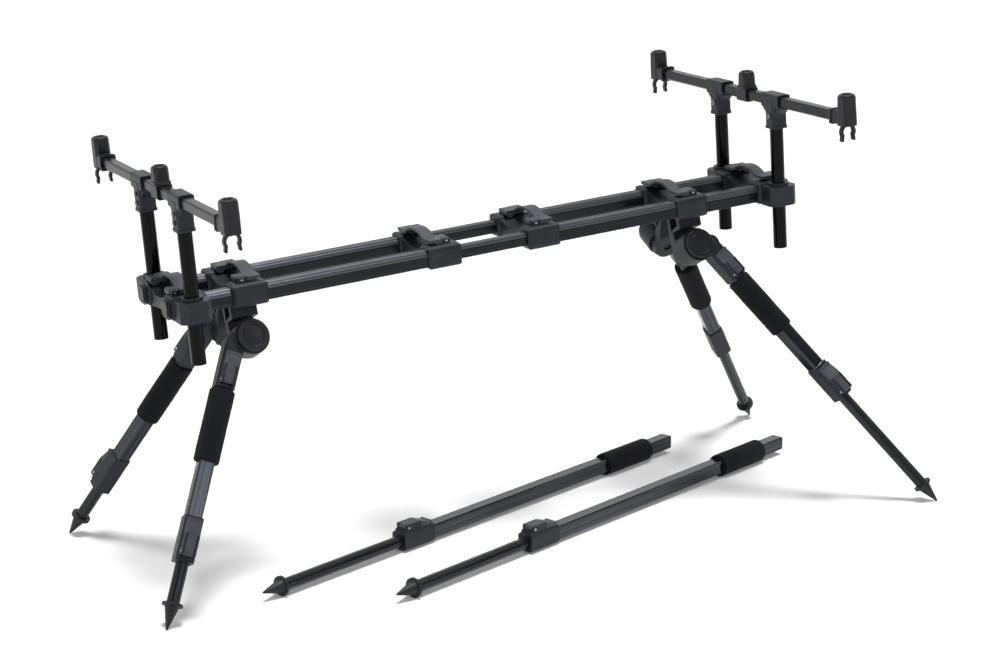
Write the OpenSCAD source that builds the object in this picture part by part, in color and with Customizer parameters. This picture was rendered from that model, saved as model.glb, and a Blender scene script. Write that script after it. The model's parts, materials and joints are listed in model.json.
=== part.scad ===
/* [Stance] */
// Upward pitch of the rails toward the front, in degrees
pitch = 4.4; // [2:0.1:7]
// Height of the rail axes above the floor, midway between the uprights
rail_height = 337.4; // [320:1:350]
// Swing of the rear legs from straight down, in degrees
rear_swing = 28.2; // [24:0.1:32]
// Swing of the front legs from straight down, in degrees
front_swing = 29.8; // [26:0.1:33]
// Outward splay of the leg hubs, in degrees
splay = 26.7; // [24:0.1:29]

/* [Rails] */
// Distance between the axes of the two rails
rail_spacing = 76; // [74:1:82]
// Width of an outer rail
rail_w = 18; // [17:0.5:20]
// Height of an outer rail
rail_h = 19; // [18:0.5:21]
// Wall of an outer rail
rail_wall = 1.2; // [1:0.1:1.6]
// Length of the inner rails that join the rear and front rails
centre_rail_len = 300; // [260:5:340]
// Wall of an inner rail
centre_wall = 1.5; // [1.2:0.1:2.4]

/* [Stations along the rails] */
// Half the distance between the rear and front uprights
upright_u = 370.4; // [360:1:385]
// Distance that the rails run on past the uprights
rail_overhang = 20.5; // [17:0.5:24]
// Centre of the rear leg head
rear_head_u = -300.5; // [-310:1:-290]
// Centre of the front leg head
front_head_u = 256.9; // [245:1:275]
// Centre of the rear mid clamp
rear_mid_u = -67.5; // [-80:0.5:-55]
// Centre of the front mid clamp
front_mid_u = 58.5; // [50:0.5:75]

/* [Clamps] */
// Length of a clamp along the rails
clamp_len = 41; // [38:1:44]
// Wall of a clamp sleeve
sleeve_wall = 3.6; // [3:0.2:5]
// Thickness of a lever lug
lug_t = 5.4; // [4.5:0.2:6]
// Radius of a lever dowel pin
lever_pin_r = 1.5; // [1.2:0.1:1.7]
// Rise of the lever arch over its arms
arch_rise = 7; // [5:0.5:10]

/* [Bars] */
// Half the distance between the end alarm sockets of a bar
socket_v = 202.6; // [190:1:215]
// Half the distance between the two uprights of a bar
upright_v = 60; // [58:0.5:64]
// Radius of an upright
upright_r = 8; // [7:0.25:8.5]
// Length of an upright
upright_len = 170.6; // [160:1:185]
// Height of the rear bar over the rail axes
rear_bar_w = 118.3; // [108:1:128]
// Height of the front bar over the rail axes
front_bar_w = 112.7; // [104:1:124]
// Width of a bar
bar_x = 13; // [11:0.5:14]
// Height of a bar
bar_z = 12; // [11:0.5:14]
// Radius of an alarm socket's threaded hole
thread_r = 4.7625; // [4.5:0.0125:5]
// Depth of an alarm socket's threaded hole
thread_depth = 14; // [10:0.5:15]

/* [Legs] */
// Distance of a hub disc's face from the middle plane
hub_v = 56.5; // [54:0.5:60]
// Height of a hub disc's face centre, from the rail axes
hub_w = -42; // [-46:0.5:-40]
// Radius of a hub disc
hub_r = 17.9; // [16:0.1:19]
// Radius of a hub's pivot shaft
hub_shaft_r = 6; // [5:0.25:7]
// Offset of the leg tube from the hub axis
leg_offset = 15.3; // [14:0.1:17]
// Width of an outer leg tube
leg_w = 17; // [16.5:0.25:18]
// Radius of a lower leg tube
lower_r = 7; // [6.4:0.1:7.2]
// Length of a lower leg, spike and all
lower_len = 235; // [230:1:240]
// Radius of a foam grip
grip_r = 14; // [13.6:0.1:15]
// Length of a foam grip
grip_len = 81; // [76:1:88]
// Distance from a leg's hub to the middle of its flip lock
lock_z = 231; // [224:1:236]
// Distance that the front left leg is drawn out of its socket
front_left_out = 14; // [0:1:18]
// Radius of a foot ring
foot_ring_r = 11.2; // [10:0.1:12]

/* [Spare legs] */
// Length of a spare leg from its stub to its tip
spare_len = 706; // [690:1:720]
// Length of a spare leg's foam grip
spare_grip_len = 86; // [78:1:96]
// Length of a spare leg's lower tube, spike and all
spare_lower_len = 320; // [280:5:340]
// Heading of the spare legs on the floor, in degrees
spare_heading = 21.2; // [19:0.1:24]

/* [Hidden] */
$fn = 48;
slide_gap = 0.3;
pin_gap = 0.05;
press_gap = 0.02;
over = 1;

rail_ledge = 0.8;
rail_ledge_h = 2.2;
rail_side = rail_w / 2 - rail_ledge;
ridge_h = 0.9;
ridge_in = 0.13;
ridge_out = 0.3;
rail_shoulder = 2.6;
rail_bore_w = 2 * (rail_side - rail_wall);
rail_bore_h = rail_h - 2 * (ridge_h + rail_wall);
rail_v = rail_spacing / 2;
rail_end_u = upright_u + rail_overhang;
centre_w = rail_bore_w - 2 * slide_gap;
centre_h = rail_bore_h - 2 * slide_gap;

sleeve_w = rail_w + 2 * sleeve_wall;
sleeve_h = rail_h + 2 * sleeve_wall;
sleeve_top = sleeve_h / 2;
bore_w = rail_w + 2 * slide_gap;
bore_h = rail_h + 2 * slide_gap;
sleeve_round = 6;
bridge_v = rail_v - rail_w / 2 - sleeve_wall / 2;
bridge_bottom = -11;
bridge_top = 9;
bridge_dip = 5;
bridge_dip_r = 60;
bridge_arch = 2;
bridge_arch_r = 90;
sleeve_end = 3;
mid_step = 10;

lever_back = 6;
end_lever_back = 11.5;
pin_rise = 2.6;
lever_w = sleeve_top + pin_rise;
arm_up = 3.1;
arm_out = rail_v + 4;
arm_in = rail_v - 16;
lug_in = arm_out - lug_t;
lug_half = 4.4;
lug_up = 2.8;
lug_clear = 5.7;
cam_r = 5.4;
cam_well = 5.4;
lip_from = 13.5;
lip_t = 3.4;
lever_len = 21.2;
arch_from = 6.6;
arch_t = 2.6;
set_screw_r = 0.9;

boss_u = rail_overhang - 2.5;
boss_v = upright_r + 8;
boss_cut = 7;
boss_bottom = -sleeve_top + 0.7;
boss_top = sleeve_top - 2.5;
collar_r = upright_r + 4;
collar_h = 3.5;
plug_t = 2.4;
plug_pad_t = 1.8;
plug_round = 7;

tee_drop = 32.6;
tee_wall = 2.6;
tee_socket = 1.7;
tee_len = 34;
tee_round = 4;
tee_gusset_t = 14;
tee_gusset_h = 16;
tee_foot = 3;
upright_wall = 1.5;
upright_seat = 8;
bar_chamfer = 2;
bar_wall = 1.5;
cap_top = 27.4;
cap_drop = 8.6;
cap_r = 9;
cap_round = 4;
cap_draw = 0.8;
cap_dome = 3.6;
thread_chamfer = 1.2;
fork_out = 9.8;
fork_in = 6.6;
fork_turn = 4;
fork_leg = 5.5;
fork_lean = 7;
fork_tip_r = 1.5;
fork_t = 5;
screw_r = 2.6;
screw_proud = 1.4;
shank_r = 1.5;
shank_len = tee_socket - 0.2;

leg_plane = 18;
ear_half = 12;
ear_r = hub_r + 2;
disc_t = leg_plane - ear_half - slide_gap;
barrel_in = leg_plane + ear_half + slide_gap;
barrel_len = 12;
barrel_r = hub_r - 1.4;
hub_out = 4.2;
neck_w = 30;
neck_pocket = 9;
hood_up = ear_r + 3.5;
neck_foot = hub_shaft_r + 4;

socket_half = leg_w / 2 + 2.3;
socket_y = leg_w / 2 + 2;
socket_end = 63;
tube_top = 15;
grip_top = socket_end + 1.5;
leg_chamfer = 1.8;
leg_bore_r = lower_r + slide_gap;
lock_half_len = 24.5;
lock_face = leg_w / 2 + 2.5;
lock_back = leg_w / 2 + 1.4;
lock_half_y = leg_w / 2 + 1.8;
flip_w = 16;
flip_stem_w = 9.5;
flip_stem_gap = 0.6;
flip_pin_r = 1.6;
flip_foot = 4;
latch_z = socket_end - 7;
latch_reach = 32;
latch_stem = 17;
latch_tall = 6;
latch_tip = 5.4;
lock_pivot = lock_half_len - 9;
lock_reach = 2 * lock_half_len - 12;
lock_stem = 19;
lock_tall = 8.5;
lock_tip = 4.6;
flute_r = 1.5;
flute_depth = 0.6;
lower_wall = 1.9;
spigot_len = 14;
foot_ring_t = 2.8;
foot_ring_at = 28.5;
cone_r = 8;
tip_r = 1.2;

spare_lock_up = 234;
spare_lock_z = spare_len - spare_lock_up;
spare_stub = 44;
spare_a = [-331, -140];
spare_b = [-207, -210.4];
spare_tilt = atan((grip_r - foot_ring_r) / (spare_len - spare_stub - foot_ring_at));

// Direction of a leg on the right side, in the frame of the rails; end is 1 at the front, -1 at the rear
function leg_dir(end, swing) = [end * sin(swing), -cos(swing) * sin(splay), -cos(swing) * cos(splay)];
function leg_side(end, swing) = [end * cos(swing), sin(swing) * sin(splay), sin(swing) * cos(splay)];
function hub_mid(u) = [u, -hub_v + leg_plane * cos(splay), hub_w - leg_plane * sin(splay)];
function height_of(p) = p[0] * sin(pitch) + p[2] * cos(pitch);
function along_of(p) = p[0] * cos(pitch) - p[2] * sin(pitch);
function leg_start(end, u, swing) = hub_mid(u) + leg_offset * leg_side(end, swing);
function leg_len(end, u, swing) =
    tip_r - (rail_height + height_of(leg_start(end, u, swing)) - tip_r) / height_of(leg_dir(end, swing));
function foot_x(end, u, swing) =
    along_of(leg_start(end, u, swing) + leg_len(end, u, swing) * leg_dir(end, swing));

rear_hub_u = rear_head_u - hub_out;
front_hub_u = front_head_u + hub_out;
rear_leg_len = leg_len(-1, rear_hub_u, rear_swing);
front_leg_len = leg_len(1, front_hub_u, front_swing);
shift_x = -(foot_x(-1, rear_hub_u, rear_swing) + foot_x(1, front_hub_u, front_swing)) / 2;

// Point of the neck's outline on the right side, from the disc's face along the hub axis and up its plane
function neck_pt(out, up) =
    [-hub_v - out * cos(splay) + up * sin(splay), hub_w + out * sin(splay) + up * cos(splay)];
neck_top = bridge_bottom + 4;
neck_outline = [[-4, neck_top], [-30, neck_top], neck_pt(-disc_t - 6, hood_up), neck_pt(-barrel_in, hood_up),
    neck_pt(-barrel_in, -neck_foot), neck_pt(-barrel_in - barrel_len, -neck_foot),
    neck_pt(-barrel_in - barrel_len, 14)];
neck_window = [[-10, neck_top - 5.5], [-26, neck_top - 5.5], neck_pt(-disc_t - 11, hood_up + 5),
    neck_pt(-barrel_in - 3, hood_up + 3)];

// Hub station, swing and length of the legs at an end, and how far a leg is drawn out of its socket
function hub_u_of(end) = end < 0 ? rear_hub_u : front_hub_u;
function swing_of(end) = end < 0 ? rear_swing : front_swing;
function len_of(end) = end < 0 ? rear_leg_len : front_leg_len;
function out_of(end, side) = end > 0 && side > 0 ? front_left_out : 0;

// Places

module pod() {
    translate([shift_x, 0, rail_height]) rotate([0, -pitch, 0]) children();
}

module both_sides() {
    children();
    mirror([0, 1, 0]) children();
}

// Turns a clamp end for end, so that its lever's pivot points to the front
module turned(turn) {
    rotate([0, 0, turn ? 180 : 0]) children();
}

// Leg frame: x away from the middle of the pod, y along the hub axis to the disc, z down the leg
module leg_frame(end, side) {
    pod() translate([hub_u_of(end), 0, 0])
        mirror([end < 0 ? 1 : 0, 0, 0]) mirror([0, side < 0 ? 0 : 1, 0])
            translate(hub_mid(0)) rotate([-splay, 0, 0]) rotate([0, -swing_of(end), 0]) rotate([180, 0, 0])
                children();
}

module on_leg(end, side) {
    leg_frame(end, side) translate([leg_offset, 0, 0]) children();
}

// Spare leg frame: z runs from the stub to the tip, x points up
module on_spare(tip) {
    translate([tip[0] + shift_x, tip[1], 0]) rotate([0, 0, spare_heading])
        translate([spare_len * cos(spare_tilt), 0, 0])
            translate([0, 0, foot_ring_r + (spare_len - foot_ring_at) * sin(spare_tilt)])
                rotate([0, -90 - spare_tilt, 0]) children();
}

// Outlines

module chamfered(w, h, c) {
    x = w / 2;
    y = h / 2;
    polygon([[x, c - y], [x, y - c], [x - c, y], [c - x, y],
        [-x, y - c], [-x, c - y], [c - x, -y], [x - c, -y]]);
}

module rounded(w, h, r) {
    square([w - 2 * r, h], center = true);
    square([w, h - 2 * r], center = true);
    for (x = [-1, 1], y = [-1, 1]) translate([x * (w / 2 - r), y * (h / 2 - r)]) circle(r);
}

// Ribbed rail: a ledge along the bottom, flat sides and two ridges on top
module rail_outline(w, h) {
    top = h / 2;
    face = w / 2 - rail_ledge;
    side = [[w / 2, -top], [w / 2, rail_ledge_h - top], [face, rail_ledge_h + rail_ledge - top],
        [face, top - ridge_h - rail_shoulder], [ridge_out * w + ridge_h, top - ridge_h], [ridge_out * w, top],
        [ridge_in * w, top], [ridge_in * w - ridge_h, top - ridge_h]];
    count = len(side);
    polygon(concat(side, [for (i = [count - 1:-1:0]) [-side[i][0], side[i][1]]]));
}

module along_x(len) {
    rotate([90, 0, 90]) linear_extrude(len) children();
}

module along_y(len) {
    rotate([90, 0, 0]) linear_extrude(len) children();
}

module rod_y(r, from, to) {
    translate([0, to, 0]) rotate([90, 0, 0]) cylinder(r = r, h = to - from);
}

// Rails

module outer_rails(from, to) {
    both_sides() translate([from, rail_v, 0]) difference() {
        along_x(to - from) rail_outline(rail_w, rail_h);
        translate([-over, 0, 0]) along_x(to - from + 2 * over)
            square([rail_bore_w, rail_bore_h], center = true);
    }
}

module rear_rails() {
    color("#1d1e21") pod() outer_rails(-rail_end_u, rear_mid_u + clamp_len / 2 - mid_step);
}

module front_rails() {
    color("#1d1e21") pod() outer_rails(front_mid_u - clamp_len / 2 + mid_step, rail_end_u);
}

module centre_rails() {
    middle = (rear_mid_u + front_mid_u) / 2;
    color("#1d1e21") pod() both_sides() translate([middle - centre_rail_len / 2, rail_v, 0]) difference() {
        along_x(centre_rail_len) rail_outline(centre_w, centre_h);
        translate([-over, 0, 0]) along_x(centre_rail_len + 2 * over)
            square([centre_w - 2 * (rail_ledge + centre_wall), centre_h - 2 * (ridge_h + centre_wall)],
                center = true);
    }
}

// Clamp bodies: two sleeves with cut-back ends, the bridge between them and the lever lugs.
// The lever's pivot lies at -x, its cams stand in wells in the tops of the sleeves

module sleeve(len) {
    translate([0, rail_v, 0]) intersection() {
        translate([-len / 2, 0, 0]) along_x(len) rounded(sleeve_w, sleeve_h, sleeve_round);
        translate([0, sleeve_w, 0]) along_y(2 * sleeve_w) chamfered(len, sleeve_h, sleeve_end);
        translate([0, 0, -sleeve_h]) linear_extrude(2 * sleeve_h) chamfered(len, sleeve_w, sleeve_end);
    }
}

module bridge(len) {
    translate([-len / 2, 0, 0]) along_x(len) difference() {
        translate([-bridge_v, bridge_bottom]) square([2 * bridge_v, bridge_top - bridge_bottom]);
        translate([0, bridge_top - bridge_dip + bridge_dip_r]) circle(bridge_dip_r, $fn = 96);
        translate([0, bridge_bottom + bridge_arch - bridge_arch_r]) circle(bridge_arch_r, $fn = 144);
    }
}

module lugs(back) {
    both_sides() translate([-back - lug_half, lug_in, sleeve_top - 2])
        cube([2 * lug_half, lug_t, 2 + pin_rise + lug_up]);
}

module lug_bores(back) {
    both_sides() translate([-back, 0, lever_w]) {
        rod_y(lever_pin_r + pin_gap, lug_in - over, arm_out + over);
        translate([0, arm_out - lug_t / 2, 0]) cylinder(r = set_screw_r, h = lug_up + over);
        translate([-cam_well, arm_in - over, bore_h / 2 - 0.5 - lever_w])
            cube([2 * cam_well, lug_in - arm_in + over, lever_w - bore_h / 2 + lug_up + over]);
    }
}

module clamp_solid(len, back, turn) {
    both_sides() sleeve(len);
    bridge(len - 2 * sleeve_end);
    turned(turn) lugs(back);
}

module rail_bores(len) {
    both_sides() translate([-len / 2 - over, rail_v, 0]) along_x(len + 2 * over)
        square([bore_w, bore_h], center = true);
}

// The mid clamps stop the outer rail at a step and let only the inner rail through
module mid_clamp(u, turn) {
    color("#33353b") pod() translate([u, 0, 0]) difference() {
        clamp_solid(clamp_len, lever_back, turn);
        turned(turn) lug_bores(lever_back);
        turned(!turn) both_sides() {
            translate([-clamp_len / 2 - over, rail_v, 0]) along_x(clamp_len - mid_step + slide_gap + over)
                square([bore_w, bore_h], center = true);
            translate([-clamp_len / 2, rail_v, 0]) along_x(clamp_len + over)
                square([centre_w + 2 * slide_gap, centre_h + 2 * slide_gap], center = true);
        }
    }
}

module rear_mid_clamp() {
    mid_clamp(rear_mid_u, true);
}

module front_mid_clamp() {
    mid_clamp(front_mid_u, false);
}

// The end blocks add a boss with cut corners for each upright, with a collar ring on top
module end_block(end) {
    len = 2 * rail_overhang;
    color("#33353b") pod() translate([end * upright_u, 0, 0]) difference() {
        union() {
            clamp_solid(len, end_lever_back, end > 0);
            both_sides() translate([0, upright_v, 0]) {
                translate([0, 0, boss_bottom]) linear_extrude(boss_top - boss_bottom)
                    chamfered(2 * boss_u, 2 * boss_v, boss_cut);
                translate([0, 0, boss_top - over]) cylinder(r = collar_r, h = collar_h + over);
            }
        }
        turned(end > 0) lug_bores(end_lever_back);
        rail_bores(len);
        both_sides() translate([0, upright_v, boss_bottom - over])
            cylinder(r = upright_r + slide_gap, h = boss_top - boss_bottom + collar_h + 2 * over);
    }
}

module rear_end_block() {
    end_block(-1);
}

module front_end_block() {
    end_block(1);
}

// The leg heads hang a neck under the bridge, which carries the hub barrel on each side
module head_neck() {
    translate([-neck_w / 2, 0, 0]) difference() {
        along_x(neck_w) polygon(neck_outline);
        for (x = [-over, neck_w - neck_pocket])
            translate([x, 0, 0]) along_x(neck_pocket + over)
                polygon(neck_window);
    }
    translate([0, -hub_v, hub_w]) rotate([-splay, 0, 0])
        rod_y(barrel_r, barrel_in, barrel_in + barrel_len);
}

module leg_head(end) {
    u = end < 0 ? rear_head_u : front_head_u;
    color("#33353b") pod() translate([u, 0, 0]) difference() {
        union() {
            clamp_solid(clamp_len, lever_back, end > 0);
            translate([end * hub_out, 0, 0]) both_sides() head_neck();
        }
        turned(end > 0) lug_bores(lever_back);
        rail_bores(clamp_len);
        translate([end * hub_out, 0, 0]) both_sides() translate([0, -hub_v, hub_w]) rotate([-splay, 0, 0])
            rod_y(hub_shaft_r + pin_gap, 0, barrel_in + barrel_len + over);
    }
}

module rear_leg_head() {
    leg_head(-1);
}

module front_leg_head() {
    leg_head(1);
}

// Cam levers: two arms that end in round cams on dowel pins, joined by an arched plate.
// The free end of each arm is a thin plate for the finger

module lever_arm() {
    bottom = slide_gap - pin_rise;
    difference() {
        union() {
            intersection() {
                rod_y(cam_r, arm_in, lug_in - slide_gap);
                translate([-2 * cam_r, 0, -2 * cam_r]) cube([4 * cam_r, arm_out, 2 * cam_r + arm_up]);
            }
            translate([0, arm_in, bottom]) cube([lip_from, lug_in - slide_gap - arm_in, arm_up - bottom]);
            translate([lug_clear, arm_in, bottom])
                cube([lip_from - lug_clear, arm_out - arm_in, arm_up - bottom]);
            translate([lip_from - over, arm_in, arm_up - lip_t])
                cube([lever_len - lip_from + over, arm_out - arm_in, lip_t]);
        }
        rod_y(lever_pin_r + press_gap, arm_in - over, lug_in + over);
    }
}

module lever_arch() {
    half = arm_in + 2;
    radius = (half * half + arch_rise * arch_rise) / (2 * arch_rise);
    translate([arch_from, 0, 0]) along_x(lever_len - arch_from) intersection() {
        translate([0, arm_up + arch_rise - radius]) difference() {
            circle(radius, $fn = 96);
            circle(radius - arch_t, $fn = 96);
        }
        translate([-half, arm_up - arch_t]) square([2 * half, arch_rise + arch_t + over]);
    }
}

module cam_lever(u, back, turn) {
    pod() translate([u, 0, 0]) turned(turn) translate([-back, 0, lever_w]) {
        color("#4a4b50") {
            both_sides() lever_arm();
            lever_arch();
        }
        color("silver") both_sides() rod_y(lever_pin_r, arm_in + 1, arm_out - 0.2);
    }
}

module rear_end_lever() {
    cam_lever(-upright_u, end_lever_back, false);
}

module rear_head_lever() {
    cam_lever(rear_head_u, lever_back, false);
}

module rear_mid_lever() {
    cam_lever(rear_mid_u, lever_back, true);
}

module front_mid_lever() {
    cam_lever(front_mid_u, lever_back, false);
}

module front_head_lever() {
    cam_lever(front_head_u, lever_back, true);
}

module front_end_lever() {
    cam_lever(upright_u, end_lever_back, true);
}

// Plugs that close the rail ends, each with a raised pad

module rail_plugs(end) {
    color("#26282c") pod() both_sides() translate([end * rail_end_u, rail_v, 0])
        mirror([end < 0 ? 1 : 0, 0, 0]) {
            along_x(plug_t) rounded(sleeve_w - 3, sleeve_h - 3, plug_round);
            along_x(plug_t + plug_pad_t) rounded(sleeve_w - 8, sleeve_h - 8, plug_round - 2);
            translate([-spigot_len, 0, 0]) along_x(spigot_len + over)
                square([rail_bore_w - 2 * pin_gap, rail_bore_h - 2 * pin_gap], center = true);
        }
}

module rear_rail_plugs() {
    rail_plugs(-1);
}

module front_rail_plugs() {
    rail_plugs(1);
}

// Hub discs: a grooved disc with a recessed middle on a pivot shaft

module hub_disc() {
    rotate([90, 0, 0]) rotate_extrude() polygon([[0, 1.2], [0, barrel_in + barrel_len - 2],
        [hub_shaft_r, barrel_in + barrel_len - 2], [hub_shaft_r, disc_t], [hub_r, disc_t], [hub_r, 1.2],
        [hub_r - 1.2, 0], [hub_r - 5.6, 0], [hub_r - 6, 1], [hub_r - 7, 1], [hub_r - 7.4, 0.4]]);
}

module hub_discs(end) {
    color("#2b2d33") pod() translate([hub_u_of(end), 0, 0]) both_sides()
        translate([0, -hub_v, hub_w]) rotate([-splay, 0, 0]) mirror([0, 1, 0]) hub_disc();
}

module rear_hub_discs() {
    hub_discs(-1);
}

module front_hub_discs() {
    hub_discs(1);
}

// Bars, uprights, tees and alarm sockets, in the frame of a bar's middle

module on_bar(end) {
    pod() translate([end * upright_u, 0, end < 0 ? rear_bar_w : front_bar_w]) children();
}

module bar(end) {
    color("#1d1e21") on_bar(end) translate([0, socket_v + 5, 0]) difference() {
        along_y(2 * socket_v + 10) chamfered(bar_x, bar_z, bar_chamfer);
        translate([0, over, 0]) along_y(2 * socket_v + 10 + 2 * over)
            chamfered(bar_x - 2 * bar_wall, bar_z - 2 * bar_wall, bar_chamfer - 0.8);
    }
}

module uprights(end) {
    color("#141517") on_bar(end) both_sides() translate([0, upright_v, -upright_seat - upright_len])
        difference() {
            cylinder(r = upright_r, h = upright_len);
            translate([0, 0, -over]) cylinder(r = upright_r - upright_wall, h = upright_len - 10);
        }
}

module bar_hole(from, to) {
    translate([0, to, 0]) along_y(to - from) chamfered(bar_x + slide_gap, bar_z + slide_gap, bar_chamfer);
}

// Screw heads on the rear face of a tee: two small ones at the rear bar, one larger at the front bar
function screw_places(end) = end < 0 ? [[0, -13], [0, -23]] : [[0, -18]];
function screw_head_r(end) = end < 0 ? screw_r : screw_r + 1;

module tee(end) {
    face = upright_r + tee_socket;
    difference() {
        union() {
            translate([0, tee_len / 2, 0]) along_y(tee_len)
                rounded(bar_x + 2 * tee_wall, bar_z + 2 * tee_wall, 3);
            translate([0, 0, -tee_drop]) linear_extrude(tee_drop) rounded(2 * face, 2 * face, tee_round);
            translate([-tee_gusset_t / 2, 0, 0]) along_x(tee_gusset_t)
                polygon([[-tee_len / 2, 0], [tee_len / 2, 0], [tee_len / 2, -bar_z / 2 - tee_wall],
                    [face, -tee_gusset_h], [-face, -tee_gusset_h], [-tee_len / 2, -bar_z / 2 - tee_wall]]);
            translate([0, 0, -tee_drop]) linear_extrude(tee_foot)
                rounded(2 * face + 1.6, 2 * face + 1.6, tee_round + 0.8);
        }
        bar_hole(-tee_len, tee_len);
        translate([0, 0, -tee_drop - over])
            cylinder(r = upright_r + 0.1, h = tee_drop - upright_seat + over + 0.1);
        for (p = screw_places(end)) translate([-face - over, p[0], p[1]]) rotate([0, 90, 0])
            cylinder(r = shank_r + press_gap, h = shank_len + over + press_gap);
    }
    for (p = screw_places(end)) translate([-face, p[0], p[1]]) rotate([0, 90, 0]) {
        translate([0, 0, -screw_proud - press_gap]) cylinder(r = screw_head_r(end), h = screw_proud);
        translate([0, 0, -screw_proud]) cylinder(r = shank_r, h = screw_proud + shank_len);
    }
}

module bar_tees(end) {
    color("#33353b") on_bar(end) both_sides() translate([0, upright_v, 0]) tee(end);
}

module threaded_hole() {
    translate([0, 0, cap_top - thread_depth]) cylinder(r = thread_r, h = thread_depth + over);
    translate([0, 0, cap_top - thread_chamfer])
        cylinder(r1 = thread_r, r2 = thread_r + thread_chamfer, h = thread_chamfer + 0.01);
}

// Cap of soft square section, drawn in a little toward a domed top
module cap(bottom, half) {
    corner = (half - cap_round) * sqrt(2) + cap_round;
    intersection() {
        translate([0, 0, bottom]) linear_extrude(cap_top - bottom) rounded(2 * half, 2 * half, cap_round);
        rotate_extrude() polygon([[0, bottom], [corner + 0.1, bottom], [corner - cap_draw, cap_top - cap_dome],
            [corner - cap_draw - 1.2, cap_top - cap_dome / 2.8], [half - 2.4, cap_top], [0, cap_top]]);
    }
}

// Fork below an end socket: an arch that closes in a little, and two lips that lean out to beads
module fork() {
    lip_out = sqrt(fork_out * fork_out - fork_turn * fork_turn);
    lip_in = sqrt(fork_in * fork_in - fork_turn * fork_turn);
    translate([0, fork_t / 2, -cap_drop - fork_in - 0.5]) along_y(fork_t) {
        difference() {
            circle(fork_out);
            circle(fork_in);
            translate([-fork_out, -fork_out - over]) square([2 * fork_out, fork_out + over - fork_turn]);
        }
        for (x = [0, 1]) mirror([x, 0]) translate([(lip_in + lip_out) / 2, -fork_turn]) rotate(fork_lean) {
            translate([-fork_tip_r, -fork_leg]) square([2 * fork_tip_r, fork_leg + fork_tip_r]);
            translate([0, -fork_leg]) circle(fork_tip_r);
        }
    }
}

module end_socket() {
    difference() {
        union() {
            cap(-cap_drop, cap_r);
            translate([0, -cap_r + 5, 0]) along_y(18) rounded(bar_x + 4, bar_z + 4, 3);
            translate([0, -cap_r - 9.5, 0]) along_y(3.5) rounded(bar_x + 6, bar_z + 6, 3);
            fork();
        }
        bar_hole(-cap_r - 20, 5 + slide_gap);
        threaded_hole();
    }
}

module centre_socket() {
    difference() {
        union() {
            cap(bar_z / 2, cap_r - 0.5);
            translate([0, cap_r + 1, 0]) along_y(2 * cap_r + 2) rounded(bar_x + 5, bar_z + 5, 3);
            translate([0, 0, bar_z / 2]) linear_extrude(4) rounded(2 * cap_r + 1, 2 * cap_r + 1, cap_round);
        }
        bar_hole(-cap_r - 10, cap_r + 10);
        threaded_hole();
    }
}

module alarm_sockets(end) {
    color("#2b2c30") on_bar(end) {
        both_sides() translate([0, socket_v, 0]) end_socket();
        centre_socket();
    }
}

module rear_bar() {
    bar(-1);
}

module rear_uprights() {
    uprights(-1);
}

module rear_bar_tees() {
    bar_tees(-1);
}

module rear_alarm_sockets() {
    alarm_sockets(-1);
}

module front_bar() {
    bar(1);
}

module front_uprights() {
    uprights(1);
}

module front_bar_tees() {
    bar_tees(1);
}

module front_alarm_sockets() {
    alarm_sockets(1);
}

// Legs

module leg_outline(gap) {
    chamfered(leg_w + 2 * gap, leg_w + 2 * gap, leg_chamfer);
}

// Two cheeks with a pin hole for a flip lever, and a rib below them.
// The lever lies on a face at x, with its pivot at height z and its reach toward -z

function flip_eye(tall) = tall / 2 + 0.3;

module flip_cheeks(x, z, stem, tall) {
    inner = flip_stem_w / 2 + slide_gap;
    translate([x, 0, z]) difference() {
        union() {
            for (y = [inner, -flip_w / 2]) translate([-over, y, flip_stem_gap - stem])
                cube([tall + over, flip_w / 2 - inner, stem - flip_stem_gap + flip_foot]);
            translate([-over, -flip_w / 2, flip_foot + 1]) cube([2.4 + over, flip_w, 1.6]);
        }
        translate([flip_eye(tall), 0, 0]) rotate([90, 0, 0])
            cylinder(r = flip_pin_r + pin_gap, h = 2 * flip_w, center = true);
    }
}

// Flip lever: a narrow stem between the cheeks and a wide head above them that thins to a finger tip
module flip_lever(x, z, reach, stem, tall, tip) {
    eye = flip_eye(tall);
    color("#3a3c43") translate([x, 0, z]) difference() {
        union() {
            translate([eye, 0, 0]) rotate([90, 0, 0])
                cylinder(r = eye - slide_gap, h = flip_stem_w, center = true);
            translate([0, flip_w / 2, 0]) along_y(flip_w)
                polygon([[slide_gap, 0], [slide_gap, -reach], [tip, -reach], [tip - 0.8, 4 - reach],
                    [tall, -stem], [tall, -1], [tall - 1, 0]]);
        }
        for (y = [flip_stem_w / 2, -flip_w / 2 - over]) translate([-over, y, -stem])
            cube([tall + 2 * over, flip_w / 2 - flip_stem_w / 2 + over, stem + over]);
        translate([eye, 0, 0]) rotate([90, 0, 0])
            cylinder(r = flip_pin_r + press_gap, h = 2 * flip_w, center = true);
    }
    color("silver") translate([x + eye, 0, z]) rotate([90, 0, 0])
        cylinder(r = flip_pin_r, h = flip_w - 0.4, center = true);
}

// Knuckle: a round ear on the hub, a rounded shoulder and the socket for the leg, with its latch outside
module knuckle(end, side) {
    color("#33353b") leg_frame(end, side) difference() {
        union() {
            rod_y(ear_r, -ear_half, ear_half);
            translate([leg_offset, 0, socket_half]) {
                rod_y(socket_half, -socket_y, socket_y);
                linear_extrude(socket_end - socket_half) chamfered(2 * socket_half, 2 * socket_y, 2.5);
            }
            translate([leg_offset, 0, 0]) rotate([0, 0, 90])
                flip_cheeks(socket_y, latch_z, latch_stem, latch_tall);
        }
        translate([leg_offset, 0, tube_top]) linear_extrude(socket_end) leg_outline(slide_gap);
        rod_y(hub_shaft_r + pin_gap, -ear_half - over, ear_half + over);
    }
}

module latch(end, side) {
    on_leg(end, side) rotate([0, 0, 90])
        flip_lever(socket_y, latch_z, latch_reach, latch_stem, latch_tall, latch_tip);
}

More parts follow.
